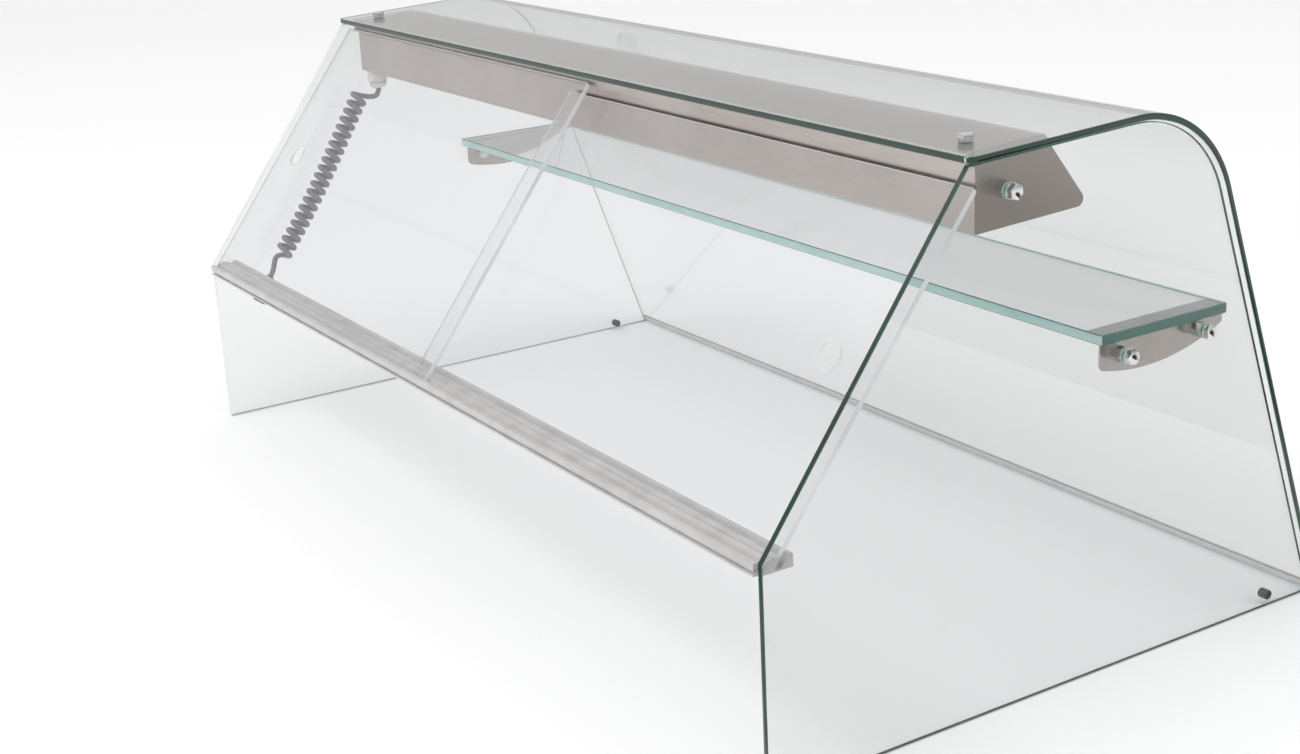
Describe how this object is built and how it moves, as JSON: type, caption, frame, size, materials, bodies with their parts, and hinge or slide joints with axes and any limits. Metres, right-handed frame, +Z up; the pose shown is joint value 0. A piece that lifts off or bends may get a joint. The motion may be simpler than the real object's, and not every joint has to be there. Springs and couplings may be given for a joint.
{
  "type": "sneeze guard",
  "caption": "Bent-glass food guard with flat end glasses, sliding rear doors in a double track, lit canopy, inner glass shelf and curly lamp cord.",
  "frame": {"origin": "middle of the footprint, on the deck that the glasses stand on", "axes": "+X along the guard to the right as the operator sees it, +Y from the operator's side to the customer's side, +Z up"},
  "size_m": [1.2844, 0.6916, 0.5281],
  "materials": {
    "bent_glass": "clear float glass, polished green edges",
    "end_glass": "clear float glass, polished dark green edges",
    "shelf_glass": "clear glass, polished pale teal edges",
    "door_acrylic": "clear acrylic, polished edges",
    "track_plastic": "translucent light grey extrusion",
    "canopy_steel": "fine brushed stainless steel",
    "bracket_steel": "fine brushed stainless steel",
    "lamp_glass": "opal white",
    "lamp_holder": "moulded white",
    "driver_case": "white powder coat",
    "diffuser": "opal acrylic",
    "nylon": "natural nylon",
    "bright_steel": "bright zinc and chrome plate",
    "gland_nylon": "light grey nylon",
    "cord_sheath": "satin grey",
    "plug_plastic": "moulded grey",
    "black_rubber": "matt black",
    "clear_silicone": "milky translucent silicone"
  },
  "bodies": {
    "guard": {"bent_glass": "bent_glass", "canopy_shell": "canopy_steel", "cap_left_bolt": "bright_steel", "cap_left_nut": "bright_steel", "cap_left_washers": "bright_steel", "cap_right_bolt": "bright_steel", "cap_right_nut": "bright_steel", "cap_right_washers": "bright_steel", "cord_coil": "cord_sheath", "cord_lead": "cord_sheath", "cord_plug": "plug_plastic", "door_track": "track_plastic", "front_seal": "clear_silicone", "gland_body": "gland_nylon", "gland_dome": "gland_nylon", "gland_locknut": "gland_nylon", "lamp_diffuser": "diffuser", "lamp_driver": "driver_case", "lamp_holder_left": "lamp_holder", "lamp_holder_right": "lamp_holder", "lamp_tube": "lamp_glass", "left_canopy_bolt": "bright_steel", "left_canopy_collar": "bright_steel", "left_canopy_end": "canopy_steel", "left_canopy_nut": "bright_steel", "left_canopy_washers": "nylon", "left_end_glass": "end_glass", "left_glass_stop": "black_rubber", "left_shelf_bracket": "bracket_steel", "left_shelf_front_bolt": "bright_steel", "left_shelf_front_collar": "bright_steel", "left_shelf_front_nut": "bright_steel", "left_shelf_front_washers": "nylon", "left_shelf_rear_bolt": "bright_steel", "left_shelf_rear_collar": "bright_steel", "left_shelf_rear_nut": "bright_steel", "left_shelf_rear_washers": "nylon", "right_canopy_bolt": "bright_steel", "right_canopy_collar": "bright_steel", "right_canopy_end": "canopy_steel", "right_canopy_nut": "bright_steel", "right_canopy_washers": "nylon", "right_end_glass": "end_glass", "right_glass_stop": "black_rubber", "right_shelf_bracket": "bracket_steel", "right_shelf_front_bolt": "bright_steel", "right_shelf_front_collar": "bright_steel", "right_shelf_front_nut": "bright_steel", "right_shelf_front_washers": "nylon", "right_shelf_rear_bolt": "bright_steel", "right_shelf_rear_collar": "bright_steel", "right_shelf_rear_nut": "bright_steel", "right_shelf_rear_washers": "nylon", "shelf_glass": "shelf_glass"},
    "left_door": {"left_door": "door_acrylic"},
    "right_door": {"right_door": "door_acrylic"}
  },
  "joints": [
    {"name": "left_door_slide", "type": "slide", "parent": "guard", "child": "left_door", "axis": [1, 0, 0], "range_m": [0, 0.61]},
    {"name": "right_door_slide", "type": "slide", "parent": "guard", "child": "right_door", "axis": [-1, 0, 0], "range_m": [0, 0.578]}
  ]
}
